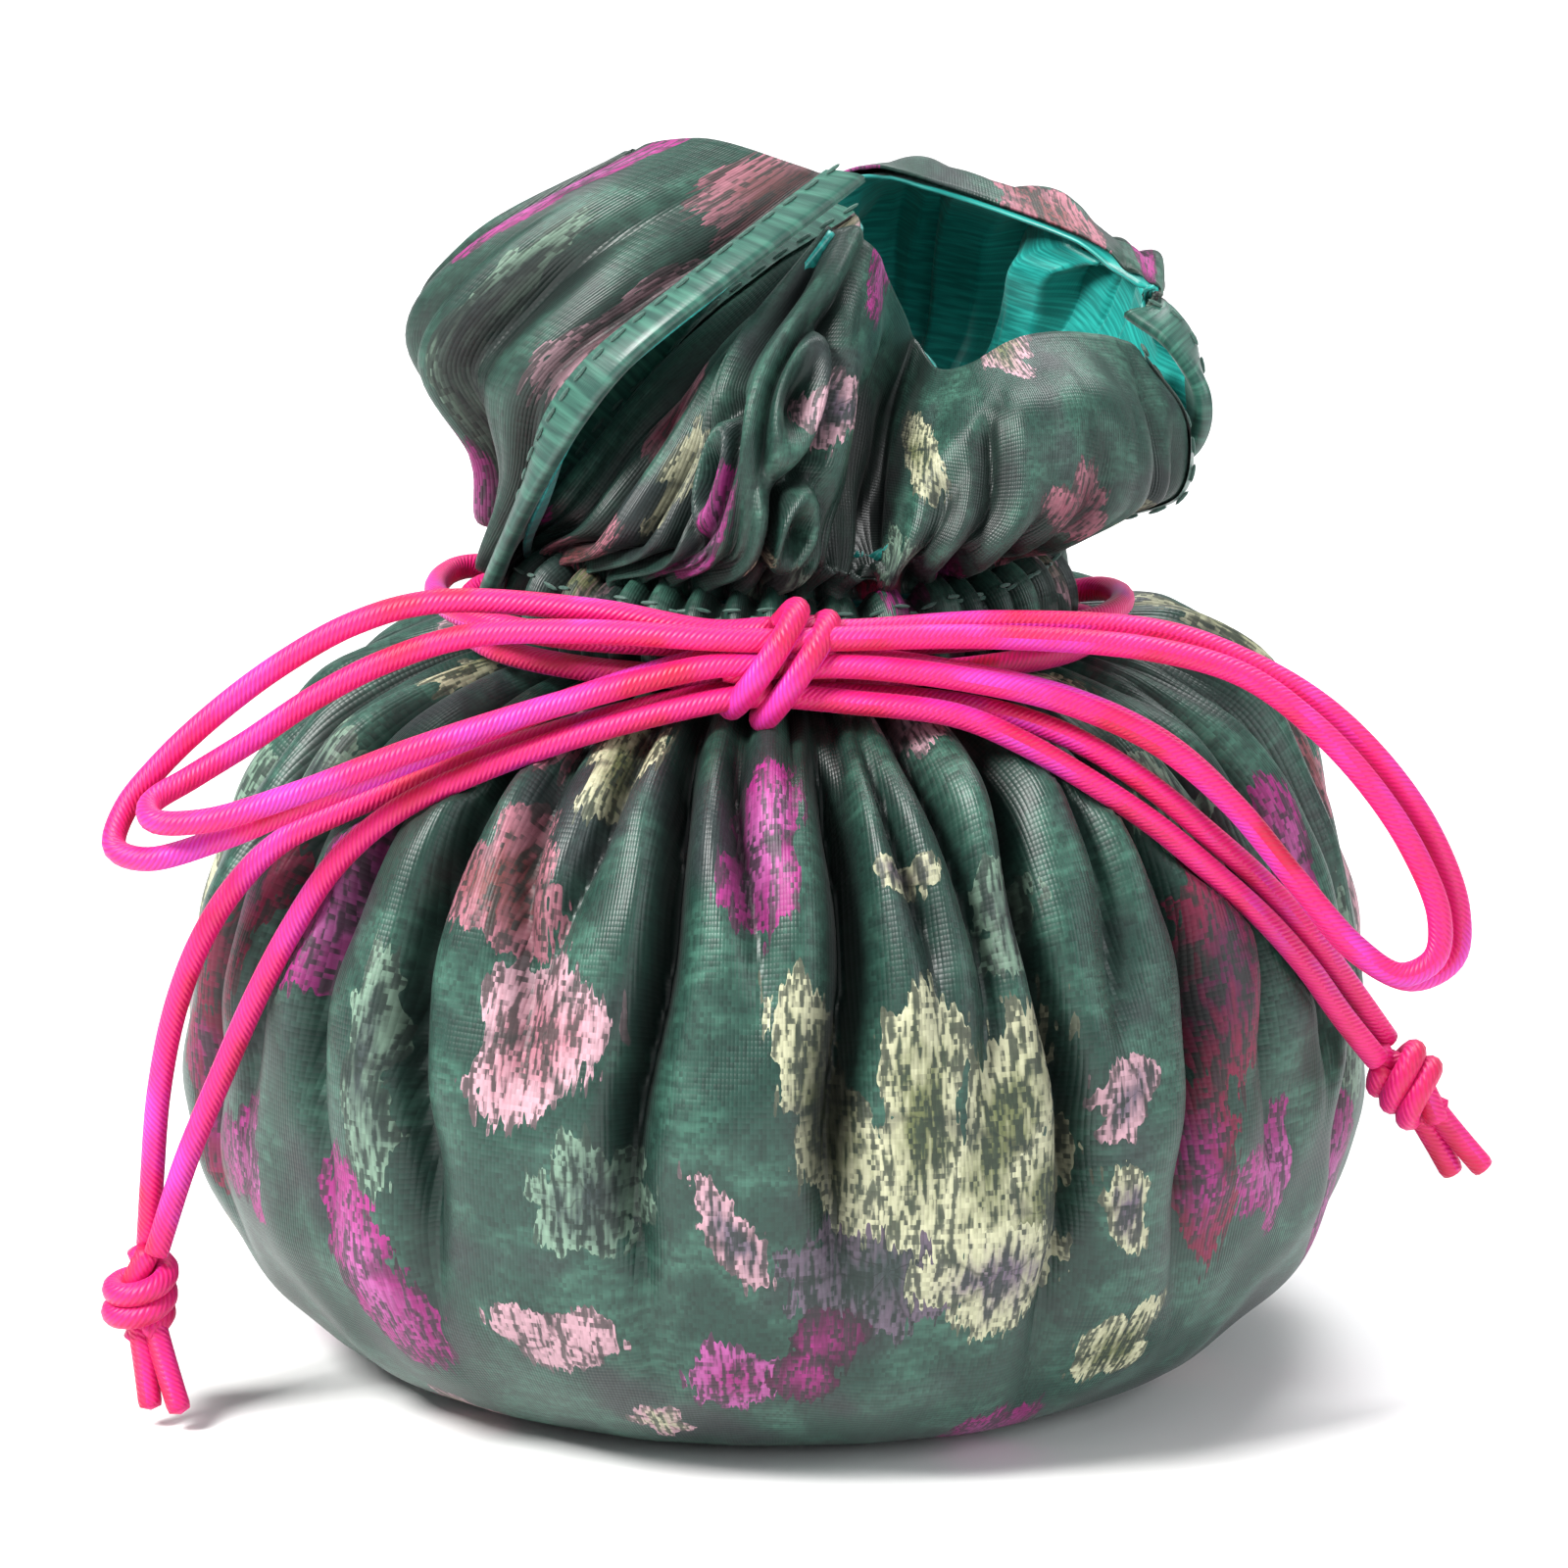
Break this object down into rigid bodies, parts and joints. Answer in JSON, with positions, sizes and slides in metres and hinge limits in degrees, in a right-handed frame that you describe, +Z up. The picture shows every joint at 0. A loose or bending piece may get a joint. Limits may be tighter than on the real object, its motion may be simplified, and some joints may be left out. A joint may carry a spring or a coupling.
{
  "type": "drawstring gift sack",
  "caption": "Plump round brocade drawstring sack with satin lining, a gathered neck casing, a loose heading and a doubled satin cord tied in a bow.",
  "frame": {"origin": "centre of the flat base, on the surface that the sack stands on", "axes": "+Z up the neck, -Y towards the bow, +X to the right seen from the bow side"},
  "size_m": [0.1234, 0.104, 0.1082],
  "materials": {
    "brocade": "woven brocade, green satin ground with flowers",
    "lining_satin": "smooth teal satin",
    "cord_satin": "satin rattail cord",
    "thread": "matt sewing thread"
  },
  "bodies": {
    "root": {"front_panel": "brocade", "back_panel": "brocade", "base_panel": "brocade", "base_seam": "brocade", "left_side_seam": "brocade", "right_side_seam": "brocade", "lining_front": "lining_satin", "lining_back": "lining_satin", "lining_base": "lining_satin", "casing_front": "brocade", "casing_back": "brocade", "casing_stitch_upper": "thread", "casing_stitch_lower": "thread", "left_drawcord": "cord_satin", "right_drawcord": "cord_satin", "bow_knot": "cord_satin", "left_lead": "cord_satin", "right_lead": "cord_satin"},
    "front_flap": {"heading_front": "brocade", "heading_lining_front": "lining_satin"},
    "back_flap": {"heading_back": "brocade", "heading_lining_back": "lining_satin"},
    "left_loop": {"left_loop_front_strand": "cord_satin", "left_loop_back_strand": "cord_satin"},
    "right_loop": {"right_loop_front_strand": "cord_satin", "right_loop_back_strand": "cord_satin"},
    "left_tail": {"left_tail_front_strand": "cord_satin", "left_tail_back_strand": "cord_satin", "left_end_knot": "cord_satin", "left_cord_ends": "cord_satin"},
    "right_tail": {"right_tail_front_strand": "cord_satin", "right_tail_back_strand": "cord_satin", "right_end_knot": "cord_satin", "right_cord_ends": "cord_satin"}
  },
  "joints": [
    {"name": "front_flap_spread", "type": "hinge", "parent": "root", "child": "front_flap", "pos_m": [0, -0.021, 0.075], "axis": [1, 0, 0], "range_deg": [0, 20]},
    {"name": "back_flap_spread", "type": "hinge", "parent": "root", "child": "back_flap", "pos_m": [0, 0.021, 0.075], "axis": [-1, 0, 0], "range_deg": [0, 20]},
    {"name": "left_loop_swing", "type": "hinge", "parent": "root", "child": "left_loop", "pos_m": [0, -0.031, 0.0708], "axis": [0, 0, 1], "range_deg": [0, 60]},
    {"name": "right_loop_swing", "type": "hinge", "parent": "root", "child": "right_loop", "pos_m": [0, -0.031, 0.0708], "axis": [0, 0, -1], "range_deg": [0, 60]},
    {"name": "left_tail_swing", "type": "hinge", "parent": "root", "child": "left_tail", "pos_m": [0, -0.031, 0.0708], "axis": [0, 0, 1], "range_deg": [0, 40]},
    {"name": "right_tail_swing", "type": "hinge", "parent": "root", "child": "right_tail", "pos_m": [0, -0.031, 0.0708], "axis": [0, 0, -1], "range_deg": [0, 40]}
  ]
}
